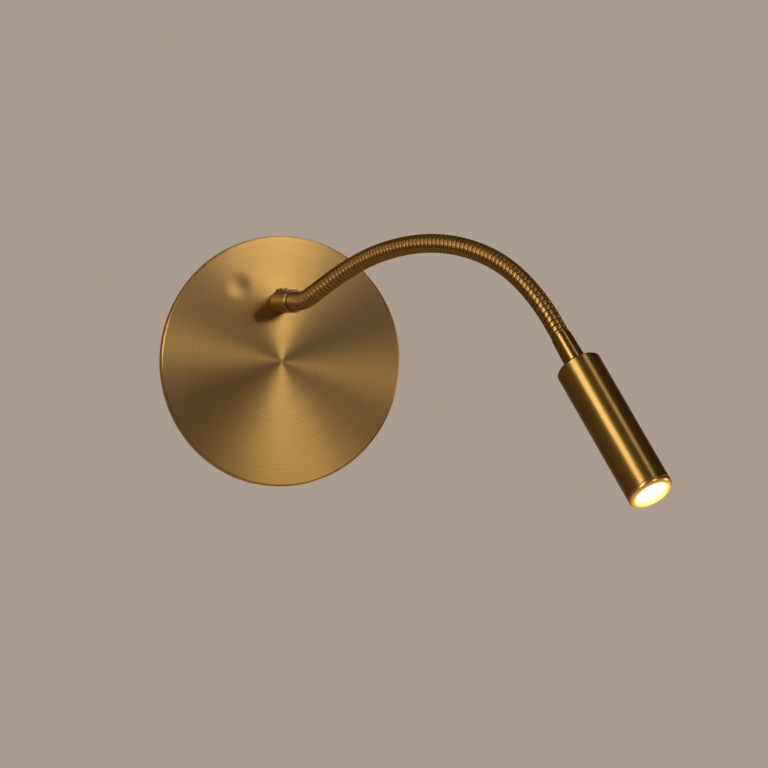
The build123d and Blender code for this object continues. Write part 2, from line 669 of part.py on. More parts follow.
def make_touch_screws():
    """Screws of the touch board."""
    length = BOARD_THICK + STANDOFF_HEIGHT
    return [
        screw_out(x, z, TOUCH_BOARD_BACK, SMALL_SCREW_RADIUS, SMALL_HEAD_RADIUS, SMALL_HEAD_HEIGHT, length)
        for x, z in touch_corners()
    ]


def make_touch_pin():
    """Contact pin between the touch board and the back of the dimple."""
    boss_back = PLATE_FRONT + PLATE_THICK + BOSS_DEPTH
    front = TOUCH_BOARD_BACK - BOARD_THICK
    pin = rod(DIMPLE_X, front, DIMPLE_Z, TOUCH_PIN_SOCKET_RADIUS, TOUCH_PIN_SOCKET_LENGTH)
    return pin + rod(DIMPLE_X, front, DIMPLE_Z, TOUCH_PIN_RADIUS, front - boss_back)


def make_earth_washer():
    """Washer between the canopy's floor and the earth lead's eye."""
    back = CANOPY_FLOOR + EARTH_WASHER_THICK
    washer = rod(EARTH_X, back, EARTH_Z, EARTH_WASHER_RADIUS, EARTH_WASHER_THICK)
    return washer - rod(EARTH_X, back, EARTH_Z, EARTH_SCREW_RADIUS + RUN, EARTH_WASHER_THICK)


def make_earth_screw():
    """Screw that clamps the earth lead's eye."""
    clamped = 2 * EARTH_WASHER_THICK
    seat = CANOPY_FLOOR + clamped
    shank = EARTH_SCREW_RADIUS
    return screw_out(EARTH_X, EARTH_Z, seat, shank, EARTH_HEAD_RADIUS, EARTH_HEAD_HEIGHT, clamped)


# ---------------------------------------------------------------- leads in the canopy

def wire(points, radii, radius):
    """Round wire along straight runs joined by tangent arcs."""
    path = FilletPolyline(*points, radius=radii)
    start = path @ 0
    return sweep(Plane(origin=start, z_dir=path % 0) * Circle(radius), path=path)


def make_output_lead():
    """From the driver up past the terminal block, back to the nipple's middle line and out to the neck."""
    points = [
        (OUTPUT_X, LEAD_Y, DRIVER_TOP - DRIVER_WALL),
        (OUTPUT_X, LEAD_Y, DRIVER_TOP + OUTPUT_RISE),
        (NECK_X + OUTPUT_SIDE, LEAD_LOOP_Y, NECK_Z - OUTPUT_DROP),
        (NECK_X, LEAD_LOOP_Y, NECK_Z),
        (NECK_X, COLLAR_MOUTH, NECK_Z),
    ]
    return wire(points, OUTPUT_RADII, LEAD_RADIUS)


def make_driver_lead():
    """Live wire from the terminal block down into the driver, and the neutral beside it."""
    wires = []
    for x in pole_places()[:2]:
        start = (x, LEAD_Y, 0.0)
        end = (x, LEAD_Y, DRIVER_TOP - DRIVER_WALL)
        wires.append(wire_straight(start, end, WIRE_RADIUS))
    return wires


def wire_straight(start, end, radius):
    """Straight piece of wire."""
    direction = Vector(*end) - Vector(*start)
    return extrude(Plane(origin=start, z_dir=direction) * Circle(radius), amount=direction.length)


def make_earth_lead():
    """From the third pole up to an eye under the earth screw."""
    x = pole_places()[2]
    back = CANOPY_FLOOR + 2 * EARTH_WASHER_THICK
    crimp = EARTH_X - EARTH_TONGUE
    points = [
        (x, LEAD_Y, 0.0),
        (x, LEAD_Y, EARTH_Z - EARTH_CLIMB),
        (crimp - EARTH_STRAIGHT, back, EARTH_Z),
        (crimp + EARTH_CRIMP, back, EARTH_Z),
    ]
    lead = wire(points, EARTH_RADII, WIRE_RADIUS)
    half = EARTH_WASHER_RADIUS / 2
    eye = rod(EARTH_X, back, EARTH_Z, EARTH_WASHER_RADIUS, EARTH_WASHER_THICK)
    eye += block((crimp, EARTH_X), (back - EARTH_WASHER_THICK, back), (EARTH_Z - half, EARTH_Z + half))
    return lead + eye - rod(EARTH_X, back, EARTH_Z, EARTH_SCREW_RADIUS + RUN, EARTH_WASHER_THICK)


def make_touch_lead():
    """From the touch board down to the driver."""
    x = TOUCH_BOARD_X
    board_bottom = TOUCH_BOARD_Z - TOUCH_BOARD_HEIGHT / 2
    y = TOUCH_BOARD_BACK + WIRE_RADIUS
    points = [
        (x, y, board_bottom + TOUCH_LEAD_TOP),
        (x, y, board_bottom - TOUCH_LEAD_HANG),
        (x, LEAD_Y, DRIVER_TOP + TOUCH_LEAD_ENTRY),
        (x, LEAD_Y, DRIVER_TOP - DRIVER_WALL),
    ]
    return wire(points, TOUCH_LEAD_RADII, WIRE_RADIUS)


# ---------------------------------------------------------------- head

def head_ring(start, finish, outer, inner):
    """Ring around the head's middle line between two lengths from the neck's end."""
    ring = extrude(head_plane.offset(start) * Circle(outer), amount=finish - start)
    return ring - extrude(head_plane.offset(start) * Circle(inner), amount=finish - start) if inner else ring


HEAD_START = FERRULE_LENGTH
HEAD_FRONT = HEAD_START + HEAD_LENGTH
BEZEL_FRONT = HEAD_FRONT + BEZEL_LENGTH
GASKET_FRONT = BEZEL_FRONT - LIP_THICK
LENS_FRONT = GASKET_FRONT - GASKET_THICK
LENS_BACK = LENS_FRONT - LENS_THICK
BOARD_BACK = HEAD_FRONT - SPIGOT_LENGTH - SPIGOT_GAP
HEAT_SINK_BACK = BOARD_BACK - HEAT_SINK_LENGTH
BOARD_FRONT = BOARD_BACK + LED_BOARD_THICK


def make_ferrule():
    """Slightly tapered brass sleeve on the neck's plug, with a threaded tail into the head."""
    mouth = head_plane * Circle(FERRULE_MOUTH_RADIUS)
    foot = head_plane.offset(FERRULE_LENGTH) * Circle(FERRULE_RADIUS)
    body = loft([mouth, foot], ruled=True)
    body = chamfer(body.edges().filter_by(GeomType.CIRCLE), FERRULE_CHAMFER)
    body += head_ring(FERRULE_LENGTH, FERRULE_LENGTH + TAIL_LENGTH, TAIL_RADIUS, 0.0)
    body -= head_ring(0.0, FERRULE_SOCKET, NECK_PLUG_RADIUS + RUN, 0.0)
    return body - head_ring(0.0, FERRULE_LENGTH + TAIL_LENGTH, NECK_BORE, 0.0)


def make_ferrule_nut():
    """Nut on the ferrule's tail, inside the head."""
    start = HEAD_START + HEAD_BACK
    return hex_nut(head_plane.offset(start), FERRULE_NUT_RADIUS, TAIL_RADIUS + RUN, FERRULE_NUT_HEIGHT)


def make_head_tube():
    """Turned brass tube, closed behind, with a shoulder that the heat sink sits on."""
    body = head_ring(HEAD_START, HEAD_FRONT, HEAD_RADIUS, 0.0)
    rear = body.edges().filter_by(GeomType.CIRCLE).sort_by_distance(head_plane.origin)[0]
    body = chamfer(rear, HEAD_CHAMFER)
    body -= head_ring(HEAD_START, HEAD_FRONT, TAIL_RADIUS + RUN, 0.0)
    body -= head_ring(HEAD_START + HEAD_BACK, HEAD_FRONT, HEAD_BORE, 0.0)
    return body - head_ring(HEAT_SINK_BACK, HEAD_FRONT, HEAD_FRONT_BORE, 0.0)


def make_heat_sink():
    """Turned aluminium slug with cooling grooves and a hole for the lead."""
    body = head_ring(HEAT_SINK_BACK, BOARD_BACK, HEAD_FRONT_BORE - RUN, NECK_BORE)
    pitch = HEAT_SINK_LENGTH / (HEAT_SINK_FINS + 1)
    for fin in range(HEAT_SINK_FINS):
        middle = HEAT_SINK_BACK + (fin + 1) * pitch
        body -= head_ring(middle - pitch / 4, middle + pitch / 4, HEAD_FRONT_BORE, HEAT_SINK_CORE)
    for x in board_screw_places():
        hole = head_plane.offset(BOARD_BACK) * Pos(x, 0.0) * Circle(SMALL_SCREW_RADIUS + RUN)
        body -= extrude(hole, amount=-BOARD_SCREW_LENGTH)
    return body


def board_screw_places():
    reach = (LED_BOARD_RADIUS + REFLECTOR_FOOT) / 2
    return [-reach, reach]


def make_led_board():
    """Round aluminium board on the heat sink."""
    body = head_ring(BOARD_BACK, BOARD_FRONT, LED_BOARD_RADIUS, 0.0)
    for x in board_screw_places():
        hole = head_plane.offset(BOARD_BACK) * Pos(x, 0.0) * Circle(SMALL_SCREW_RADIUS + RUN)
        body -= extrude(hole, amount=LED_BOARD_THICK)
    return body


def make_board_screws():
    """Two flat-headed screws that hold the light board."""
    screws = []
    for x in board_screw_places():
        seat = head_plane.offset(BOARD_FRONT) * Pos(x, 0.0)
        head = extrude(seat * Circle(BOARD_SCREW_HEAD), amount=BOARD_SCREW_HEAD_HEIGHT)
        screws.append(head + extrude(seat * Circle(SMALL_SCREW_RADIUS), amount=-BOARD_SCREW_LENGTH))
    return screws


def make_reflector():
    """Cone from the light board to the window."""
    foot = REFLECTOR_FOOT
    rim = LENS_RADIUS
    back = head_plane.offset(BOARD_FRONT)
    front = head_plane.offset(LENS_BACK)
    outer = [back * Circle(foot + REFLECTOR_WALL), front * Circle(rim)]
    inner = [back * Circle(foot), front * Circle(rim - REFLECTOR_WALL)]
    return loft(outer, ruled=True) - loft(inner, ruled=True)


def make_bezel():
    """Front ring with a lip over the window and a threaded spigot in the tube."""
    body = head_ring(HEAD_FRONT, BEZEL_FRONT, HEAD_RADIUS, 0.0)
    front = body.edges().filter_by(GeomType.CIRCLE).sort_by_distance(head_plane.origin)[-1]
    body = chamfer(front, BEZEL_CHAMFER)
    spigot = HEAD_FRONT_BORE - RUN
    body += head_ring(HEAD_FRONT - SPIGOT_LENGTH, HEAD_FRONT, spigot, 0.0)
    body -= head_ring(HEAD_FRONT - SPIGOT_LENGTH, GASKET_FRONT, spigot - SPIGOT_WALL, 0.0)
    return body - head_ring(GASKET_FRONT, BEZEL_FRONT, WINDOW_RADIUS, 0.0)


# ---------------------------------------------------------------- write the pieces

def build_parts():
    """Every piece by its node name; a list is a group of separate solids."""
    parts = {
        "wall_bracket": make_wall_bracket(),
        "canopy_screws": make_canopy_screws(),
        "canopy": make_canopy(),
        "entry_grommet": make_grommet(),
        "front_plate": make_front_plate(),
        "plate_studs": make_plate_studs(),
        "plate_nuts": make_plate_nuts(),
        "collar": make_collar(),
        "collar_screw": make_collar_screw(),
        "threaded_nipple": make_nipple(),
        "lock_washer": make_lock_washer(),
        "nipple_nut": make_nipple_nut(),
        "driver_case": make_driver_case(),
        "driver_lid": make_driver_lid(),
        "driver_board": make_driver_board(),
        "driver_screws": make_driver_screws(),
        "terminal_block": make_terminal_block(),
        "terminal_screws": make_terminal_screws(),
        "block_screws": make_block_screws(),
        "touch_board": make_touch_board(),
        "touch_standoffs": make_touch_standoffs(),
        "touch_screws": make_touch_screws(),
        "touch_pin": make_touch_pin(),
        "earth_washer": make_earth_washer(),
        "earth_screw": make_earth_screw(),
        "output_lead": make_output_lead(),
        "driver_lead": make_driver_lead(),
        "earth_lead": make_earth_lead(),
        "touch_lead": make_touch_lead(),
        "neck_base": make_neck_base(),
        "neck_end": make_neck_end(),
        "neck_ferrule": make_ferrule(),
        "ferrule_nut": make_ferrule_nut(),
        "head_tube": make_head_tube(),
        "heat_sink": make_heat_sink(),
        "led_board": make_led_board(),
        "led_chip": head_ring(BOARD_FRONT, BOARD_FRONT + LED_CHIP_HEIGHT, LED_CHIP_RADIUS, 0.0),
        "board_screws": make_board_screws(),
        "reflector": make_reflector(),
        "lens": head_ring(LENS_BACK, LENS_FRONT, LENS_RADIUS, 0.0),
        "lens_gasket": head_ring(LENS_FRONT, GASKET_FRONT, LENS_RADIUS, WINDOW_RADIUS),
        "bezel_ring": make_bezel(),
        "head_lead": head_ring(0.0, BOARD_BACK, LEAD_RADIUS, 0.0),
    }
    for index in range(1, LINKS + 1):
        parts[f"neck_link_{index:02d}"] = make_neck_link(index)
    return parts


def main():
    os.makedirs("parts", exist_ok=True)
    for name, shape in build_parts().items():
        if isinstance(shape, (list, tuple)):
            shape = Compound(children=list(shape))
        save(shape, name)


main()
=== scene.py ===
"""Bedside wall reading lamp in brass, put together from the wall outwards: plate, gooseneck and head."""

import math

import bpy
import numpy as np
from mathutils import Matrix, Vector


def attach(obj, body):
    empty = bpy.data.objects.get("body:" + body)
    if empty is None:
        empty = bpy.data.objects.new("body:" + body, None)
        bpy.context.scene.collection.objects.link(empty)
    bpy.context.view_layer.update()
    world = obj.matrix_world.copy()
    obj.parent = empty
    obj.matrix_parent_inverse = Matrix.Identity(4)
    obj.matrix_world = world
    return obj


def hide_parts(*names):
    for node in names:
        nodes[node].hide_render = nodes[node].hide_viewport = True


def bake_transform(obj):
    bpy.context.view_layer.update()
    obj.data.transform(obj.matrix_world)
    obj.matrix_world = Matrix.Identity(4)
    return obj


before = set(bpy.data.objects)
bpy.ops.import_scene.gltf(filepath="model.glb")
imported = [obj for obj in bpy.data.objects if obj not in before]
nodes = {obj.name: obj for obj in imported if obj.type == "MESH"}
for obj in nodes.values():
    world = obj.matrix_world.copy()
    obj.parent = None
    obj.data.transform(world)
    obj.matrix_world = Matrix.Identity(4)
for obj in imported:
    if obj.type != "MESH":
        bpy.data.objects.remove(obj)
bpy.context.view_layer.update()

# ---------------------------------------------------------------- camera
# The lamp seen a little from its left and level with its plate, through a long lens.
# The plate's centre falls left of and above the middle of a square picture 768 pixels wide.
# The lamp's sizes are in millimetres in every section, and camera_distance is in metres.
plate_radius = 70.0
plate_front = 28.0
plate_centre = Vector((0.0, -plate_front / 1000, 0.0))
picture_width = 768
plate_in_picture = (281.7, 361.4)
plate_radius_in_picture = 125.3
sensor_width = 36.0
camera_distance = 2.5
pixels_at_one_metre = plate_radius_in_picture / (plate_radius / 1000) * camera_distance
camera_side = math.radians(18.0)
camera_height = math.radians(0.5)


def camera_pose():
    """Camera matrix: straight at the plate's centre, then turned until the centre falls on its pixel."""
    out = Vector((-math.sin(camera_side), -math.cos(camera_side), 0.0)) * math.cos(camera_height)
    out.z = math.sin(camera_height)
    right = Vector((math.cos(camera_side), -math.sin(camera_side), 0.0))
    up = out.cross(right)
    yaw = math.atan((picture_width / 2 - plate_in_picture[0]) / pixels_at_one_metre)
    pitch = math.atan((picture_width / 2 - plate_in_picture[1]) / pixels_at_one_metre)
    ahead = -out * math.cos(yaw) + right * math.sin(yaw)
    right = right * math.cos(yaw) + out * math.sin(yaw)
    down_ahead = ahead * math.cos(pitch) - up * math.sin(pitch)
    up = up * math.cos(pitch) + ahead * math.sin(pitch)
    turn = Matrix((right, up, -down_ahead)).transposed().to_4x4()
    return Matrix.Translation(plate_centre + out * camera_distance) @ turn


camera = bpy.data.objects.new("camera", bpy.data.cameras.new("camera"))
bpy.context.scene.collection.objects.link(camera)
camera.matrix_world = camera_pose()
camera.data.sensor_width = sensor_width
camera.data.lens = sensor_width * pixels_at_one_metre / picture_width
camera.data.clip_end = 30.0
bpy.context.scene.camera = camera
bpy.context.scene.view_settings.view_transform = "Standard"

# ---------------------------------------------------------------- wall bracket and steel hardware
# A strap of 1.5 mm steel is screwed to the wall, and its two bent tabs take the canopy's side screws.
# Strap, screws, nuts, studs and washers are bright zinc plated: a cool grey with faint crystals of
# about a millimetre that turn the light a little differently.


def linear(colour):
    """Linear colour of an sRGB hex value, with alpha 1."""
    channels = [int(colour[i:i + 2], 16) / 255 for i in (1, 3, 5)]
    return [c / 12.92 if c <= 0.04045 else ((c + 0.055) / 1.055) ** 2.4 for c in channels] + [1.0]


def add_node(material, kind, sockets=None, **settings):
    """Adds one node; settings are its own, and each of sockets is a value, or an output to link to."""
    node = material.node_tree.nodes.new("ShaderNode" + kind)
    for name, value in settings.items():
        setattr(node, name, value)
    for name, value in (sockets or {}).items():
        if isinstance(value, bpy.types.NodeSocket):
            material.node_tree.links.new(value, node.inputs[name])
        else:
            node.inputs[name].default_value = value
    return node


def start_material(name, **sockets):
    """A material with one Principled shader, whose named sockets are set."""
    material = bpy.data.materials.new(name)
    material.use_nodes = True
    shader = material.node_tree.nodes["Principled BSDF"]
    for socket, value in sockets.items():
        shader.inputs[socket.replace("_", " ")].default_value = value
    return material, shader


def connect(material, output, socket):
    """Links an output to a socket."""
    material.node_tree.links.new(output, socket)


def dress(names, material):
    """Gives CAD nodes a material in place of their plain one."""
    for name in names:
        nodes[name].data.materials.clear()
        nodes[name].data.materials.append(material)


def mottle(material, shader, where, size_mm, light, dark, rough_low, rough_high, bump_mm, detail=3.0):
    """Noise of one real size in mm that moves colour, roughness and height; gives the colour back."""
    noise = add_node(material, "TexNoise", {"Vector": where, "Scale": 1000.0 / size_mm, "Detail": detail})
    tint = add_node(
        material, "Mix", {0: noise.outputs[0], 6: linear(dark), 7: linear(light)}, data_type="RGBA",
    )
    connect(material, tint.outputs[2], shader.inputs["Base Color"])
    rough = add_node(material, "MapRange", {0: noise.outputs[0], 3: rough_low, 4: rough_high})
    connect(material, rough.outputs[0], shader.inputs["Roughness"])
    height = add_node(material, "Bump", {"Height": noise.outputs[0], "Distance": bump_mm / 1000})
    connect(material, height.outputs[0], shader.inputs["Normal"])
    return tint.outputs[2]


zinc_plate, shader = start_material("bright_zinc_plated_steel", Metallic=1.0)
place = add_node(zinc_plate, "TexCoord").outputs["Object"]
crystal = add_node(zinc_plate, "TexVoronoi", {"Vector": place, "Scale": 1000.0 / 1.1})
grey = add_node(
    zinc_plate, "Mix", {0: crystal.outputs["Color"], 6: linear("#A9AEB2"), 7: linear("#C9CBCA")},
    data_type="RGBA",
)
connect(zinc_plate, grey.outputs[2], shader.inputs["Base Color"])
passivated = add_node(zinc_plate, "TexNoise", {"Vector": place, "Scale": 1000.0 / 6.0, "Detail": 4.0})
rough = add_node(zinc_plate, "MapRange", {0: passivated.outputs[0], 3: 0.24, 4: 0.42})
connect(zinc_plate, rough.outputs[0], shader.inputs["Roughness"])
height = add_node(zinc_plate, "Bump", {"Height": crystal.outputs["Distance"], "Distance": 0.000012})
connect(zinc_plate, height.outputs[0], shader.inputs["Normal"])
dress(
    [
        "wall_bracket", "canopy_screws", "plate_studs", "plate_nuts", "threaded_nipple", "lock_washer",
        "nipple_nut", "driver_screws", "terminal_screws", "block_screws", "touch_standoffs", "touch_screws",
        "touch_pin", "earth_washer", "earth_screw", "ferrule_nut", "board_screws",
    ],
    zinc_plate,
)

# ---------------------------------------------------------------- canopy
# A deep-drawn steel box behind the plate, powder coated satin black on both sides.
# The coat has the fine orange peel of cured powder, about half a millimetre from bump to bump.
powder_coat, shader = start_material("black_powder_coat_on_steel", Metallic=0.0)
place = add_node(powder_coat, "TexCoord").outputs["Object"]
mottle(powder_coat, shader, place, 0.5, "#2B2825", "#1B1917", 0.46, 0.62, 0.03)
dress(["canopy"], powder_coat)

# ---------------------------------------------------------------- entry grommet
# A moulded rubber bush that keeps the strap's edge off the house wiring. It is black and matt, with the
# fine grain that the mould leaves.
moulded_rubber, shader = start_material("moulded_black_rubber", Metallic=0.0)
place = add_node(moulded_rubber, "TexCoord").outputs["Object"]
mottle(moulded_rubber, shader, place, 0.35, "#232221", "#171615", 0.66, 0.82, 0.02)
dress(["entry_grommet"], moulded_rubber)

# ---------------------------------------------------------------- driver case and lid
# The low-voltage supply's case and lid, moulded in white polycarbonate. The mould's spark-eroded face
# leaves a fine satin grain, and light goes a little way into the plastic.
white_plastic, shader = start_material("white_moulded_polycarbonate", Metallic=0.0, IOR=1.58)
shader.inputs["Subsurface Weight"].default_value = 0.08
shader.inputs["Subsurface Scale"].default_value = 0.0015
place = add_node(white_plastic, "TexCoord").outputs["Object"]
mottle(white_plastic, shader, place, 0.25, "#E9E7E1", "#DDDAD2", 0.42, 0.56, 0.012)
dress(["driver_case", "driver_lid"], white_plastic)

# ---------------------------------------------------------------- terminal block
# The body of the mains terminals, moulded in natural nylon. It is a little waxy and yellower than the
# driver's case, and lets light further in.
nylon, shader = start_material("natural_nylon", Metallic=0.0, IOR=1.53)
shader.inputs["Subsurface Weight"].default_value = 0.15
shader.inputs["Subsurface Scale"].default_value = 0.002
place = add_node(nylon, "TexCoord").outputs["Object"]
mottle(nylon, shader, place, 0.8, "#E4E0D2", "#D8D2BF", 0.36, 0.5, 0.01)
dress(["terminal_block"], nylon)

# ---------------------------------------------------------------- circuit boards
# The driver's board with its coil and capacitors, and the dimmer's small board behind the dimple.
# The boards are glass-epoxy under green solder mask with fine tracks; what stands on them is dark
# moulded epoxy, told apart by how far it stands out from the board.


def circuit_board(name, board_back_mm, board_front_mm):
    """Green between two depths along Y, with tracks 0.8 mm apart, and dark epoxy outside them."""
    material, shader = start_material(name, Metallic=0.0, IOR=1.5)
    place = add_node(material, "TexCoord").outputs["Object"]
    mask = mottle(material, shader, place, 2.0, "#1F6A3C", "#175431", 0.28, 0.4, 0.01)
    tracks = add_node(
        material, "TexBrick",
        {"Vector": place, "Scale": 1000.0 / 0.8, "Color1": linear("#2B7F4A"), "Color2": linear("#1C5F36"),
         "Mortar": linear("#14492A"), "Brick Width": 6.0, "Row Height": 1.0, "Mortar Size": 0.18},
    )
    tracked = add_node(material, "Mix", {0: 0.5, 6: mask, 7: tracks.outputs["Color"]}, data_type="RGBA")
    depth = add_node(material, "SeparateXYZ", {0: place}).outputs["Y"]
    behind = add_node(material, "Math", {0: depth, 1: board_back_mm / 1000}, operation="LESS_THAN")
    before = add_node(material, "Math", {0: depth, 1: board_front_mm / 1000}, operation="GREATER_THAN")
    on_board = add_node(material, "Math", {0: behind.outputs[0], 1: before.outputs[0]}, operation="MULTIPLY")
    epoxy = add_node(
        material, "Mix", {0: on_board.outputs[0], 6: linear("#23211F"), 7: tracked.outputs[2]},
        data_type="RGBA",
    )
    connect(material, epoxy.outputs[2], shader.inputs["Base Color"])
    return material


driver_mask = circuit_board("driver_board_solder_mask", board_back_mm=-21.95, board_front_mm=-23.65)
dress(["driver_board"], driver_mask)
touch_mask = circuit_board("touch_board_solder_mask", board_back_mm=-18.35, board_front_mm=-20.05)
dress(["touch_board"], touch_mask)

# ---------------------------------------------------------------- leads
# Flexible leads in cream silicone from the terminals to the driver, the dimmer, the neck and the head,
# and one green and yellow wire that earths the metal case. The sheath is matt and a little uneven.
silicone_sheath, shader = start_material("cream_silicone_sheath", Metallic=0.0, IOR=1.41)
place = add_node(silicone_sheath, "TexCoord").outputs["Object"]
mottle(silicone_sheath, shader, place, 1.5, "#D9D6CB", "#CBC7B9", 0.5, 0.62, 0.008)
dress(["output_lead", "driver_lead", "touch_lead", "head_lead"], silicone_sheath)

earth_sheath, shader = start_material("green_and_yellow_earth_wire", Metallic=0.0, IOR=1.5, Roughness=0.42)
place = add_node(earth_sheath, "TexCoord").outputs["Object"]
stripe = add_node(
    earth_sheath, "TexWave", {"Vector": place, "Scale": 1000.0 / 14.0}, bands_direction="DIAGONAL",
)
two_tone = add_node(earth_sheath, "Math", {0: stripe.outputs["Fac"], 1: 0.45}, operation="GREATER_THAN")
tint = add_node(
    earth_sheath, "Mix", {0: two_tone.outputs[0], 6: linear("#3E8F2E"), 7: linear("#E6D23A")},
    data_type="RGBA",
)
connect(earth_sheath, tint.outputs[2], shader.inputs["Base Color"])
dress(["earth_lead"], earth_sheath)

# ---------------------------------------------------------------- front plate
# A shallow spun pan of brass, 140 mm across, its edge rolled back 4 mm and its face brushed in circles
# about its own centre under a satin lacquer. A finger dimple pressed upper left works the dimmer.
plate_thick = 1.5
plate_rim = 4.0
plate_edge = 0.5
plate_back_edge = 0.2
plate_inside_edge = 0.3
edge_support = 0.12
neck_height = 33.5
nipple_hole = 5.05
dimple_place = (-25.03, 41.99)
dimple_reach = 9.6
dimple_depth = 0.22
boss_radius = 7.0
boss_depth = 1.0
boss_slope = 0.8
plate_angles = 256
plate_face_rings = 130


def surface(name, grid, close_rows=False):
    """A mesh of quads on a grid of points in mm; each row is closed round, and the rows close if asked.
    Its UV map runs once round along each row, and once over all the rows."""
    rows, columns = grid.shape[:2]
    number = np.arange(rows * columns).reshape(rows, columns)
    number = np.hstack([number, number[:, :1]])
    if close_rows:
        number = np.vstack([number, number[:1]])
    quads = np.stack([number[:-1, :-1], number[1:, :-1], number[1:, 1:], number[:-1, 1:]], -1).reshape(-1, 4)
    mesh = bpy.data.meshes.new(name)
    mesh.from_pydata(grid.reshape(-1, 3) / 1000.0, [], quads.tolist())
    mesh.polygons.foreach_set("use_smooth", np.ones(len(quads), bool))
    row, column = np.divmod(np.arange(len(quads)), columns)
    round_row = np.stack([column, column, column + 1, column + 1], 1) / columns
    over_rows = np.stack([row, row + 1, row + 1, row], 1) / rows
    places = np.stack([round_row, over_rows], -1).reshape(-1)
    mesh.uv_layers.new(name="round_and_over").data.foreach_set("uv", places)
    made = bpy.data.objects.new(name, mesh)
    bpy.context.scene.collection.objects.link(made)
    return made


def keep(made, name, values):
    """Stores a vector for each point of a mesh, for its material to read."""
    stored = made.data.attributes.new(name, "FLOAT_VECTOR", "POINT")
    stored.data.foreach_set("vector", np.ascontiguousarray(values, np.float32).reshape(-1))


def rounded(corners, steps=6):
    """Outline through corners of (along, radius, edge): each corner is a Bezier arc that starts edge mm
    before it and ends edge mm after it, with a point just outside either end to hold the flats flat."""
    corners = np.array(corners, float)
    points, edge = corners[:, :2], corners[:, 2:]
    before = np.roll(points, 1, 0) - points
    after = np.roll(points, -1, 0) - points
    before /= np.linalg.norm(before, axis=1)[:, None]
    after /= np.linalg.norm(after, axis=1)[:, None]
    t = np.linspace(0.0, 1.0, steps)[None, :, None]
    first, last = (points + before * edge)[:, None], (points + after * edge)[:, None]
    arc = first * (1 - t) ** 2 + points[:, None] * 2 * t * (1 - t) + last * t ** 2
    lead_in = first + (before * edge_support)[:, None]
    lead_out = last + (after * edge_support)[:, None]
    return np.concatenate([lead_in, arc, lead_out], 1).reshape(-1, 2)


def pan_grid():
    """Rings from the nipple's hole over the face, round the rolled rim and back over the inside. On the
    face the ring's centre slides from the hole's to the plate's as its radius grows, so no rings cross.
    The dimple is (1 - r^2)^3 deep at a share r of its reach, and the boss behind it has a short slope."""
    angle = np.linspace(0.0, 2 * np.pi, plate_angles, endpoint=False)
    face = np.linspace(0.0, 1.0, plate_face_rings) ** 0.9
    flat_radius = plate_radius - plate_edge - edge_support
    inner_radius = plate_radius - plate_thick - plate_inside_edge

    def face_rings(share, depth, outer):
        radius = nipple_hole + share * (outer - nipple_hole)
        return np.stack([neck_height * (1 - share), radius, np.full_like(share, depth)], 1)

    rim = rounded([
        (plate_front, plate_radius, plate_edge),
        (plate_front - plate_rim, plate_radius, plate_back_edge),
        (plate_front - plate_rim, plate_radius - plate_thick, plate_back_edge),
        (plate_front - plate_thick, plate_radius - plate_thick, plate_inside_edge),
    ])
    rim = rim[1:-1]
    rim_rings = np.stack([np.zeros(len(rim)), rim[:, 1], rim[:, 0]], 1)
    rings = np.vstack([
        face_rings(face, plate_front, flat_radius), rim_rings,
        face_rings(face[::-1], plate_front - plate_thick, inner_radius),
    ])
    centre, radius, depth = rings.T[:, :, None]
    x = radius * np.cos(angle)
    z = centre + radius * np.sin(angle)
    from_dimple = np.hypot(x - dimple_place[0], z - dimple_place[1])
    dent = np.clip(1 - (from_dimple / dimple_reach) ** 2, 0, 1) ** 3 * dimple_depth
    lump = np.clip((boss_radius + boss_slope / 2 - from_dimple) / boss_slope, 0, 1) * boss_depth
    on_face = np.arange(len(rings))[:, None] < plate_face_rings
    on_back = np.arange(len(rings))[:, None] >= len(rings) - plate_face_rings
    out = depth - np.where(on_face, dent, 0.0) - np.where(on_back, lump, 0.0)
    return np.stack([x, -out, z], -1)


def brushed_brass(name, along, across, light, deep, edge, grain_mm, rough_low, rough_high, bump_mm, spread,
                  turn, lacquer):
    """Brass with brush lines: noise stretched along the line, in colour, roughness and height together.
    along is a vector that hardly changes down a line and quickly from one line to the next, across is the
    direction in which the lines spread a highlight. edge tints what is seen at a slant, and lacquer is the
    weight and the roughness of the clear coat."""
    material, shader = start_material(name, Metallic=1.0)
    shader.inputs["Specular Tint"].default_value = linear(edge)
    shader.inputs["Anisotropic"].default_value = spread
    shader.inputs["Anisotropic Rotation"].default_value = turn
    shader.inputs["Coat Weight"].default_value, shader.inputs["Coat Roughness"].default_value = lacquer
    lines = add_node(material, "TexNoise", {"Vector": along(material), "Scale": 1.0 / grain_mm, "Detail": 5.0,
                                            "Roughness": 0.7})
    sharp = add_node(material, "MapRange", {0: lines.outputs[0], 1: 0.32, 2: 0.68})
    object_place = add_node(material, "TexCoord").outputs["Object"]
    cloud = add_node(material, "TexNoise", {"Vector": object_place, "Scale": 1000.0 / 22.0, "Detail": 3.0})
    blend = add_node(material, "Math", {0: sharp.outputs[0], 1: 0.6}, operation="MULTIPLY")
    blend = add_node(
        material, "Math", {0: cloud.outputs[0], 1: 0.4, 2: blend.outputs[0]}, operation="MULTIPLY_ADD",
    )
    tint = add_node(
        material, "Mix", {0: blend.outputs[0], 6: linear(deep), 7: linear(light)}, data_type="RGBA",
    )
    connect(material, tint.outputs[2], shader.inputs["Base Color"])
    rough = add_node(material, "MapRange", {0: blend.outputs[0], 3: rough_high, 4: rough_low})
    connect(material, rough.outputs[0], shader.inputs["Roughness"])
    height = add_node(material, "Bump", {"Height": sharp.outputs[0], "Distance": bump_mm / 1000})
    connect(material, height.outputs[0], shader.inputs["Normal"])
    connect(material, across(material), shader.inputs["Tangent"])
    return material


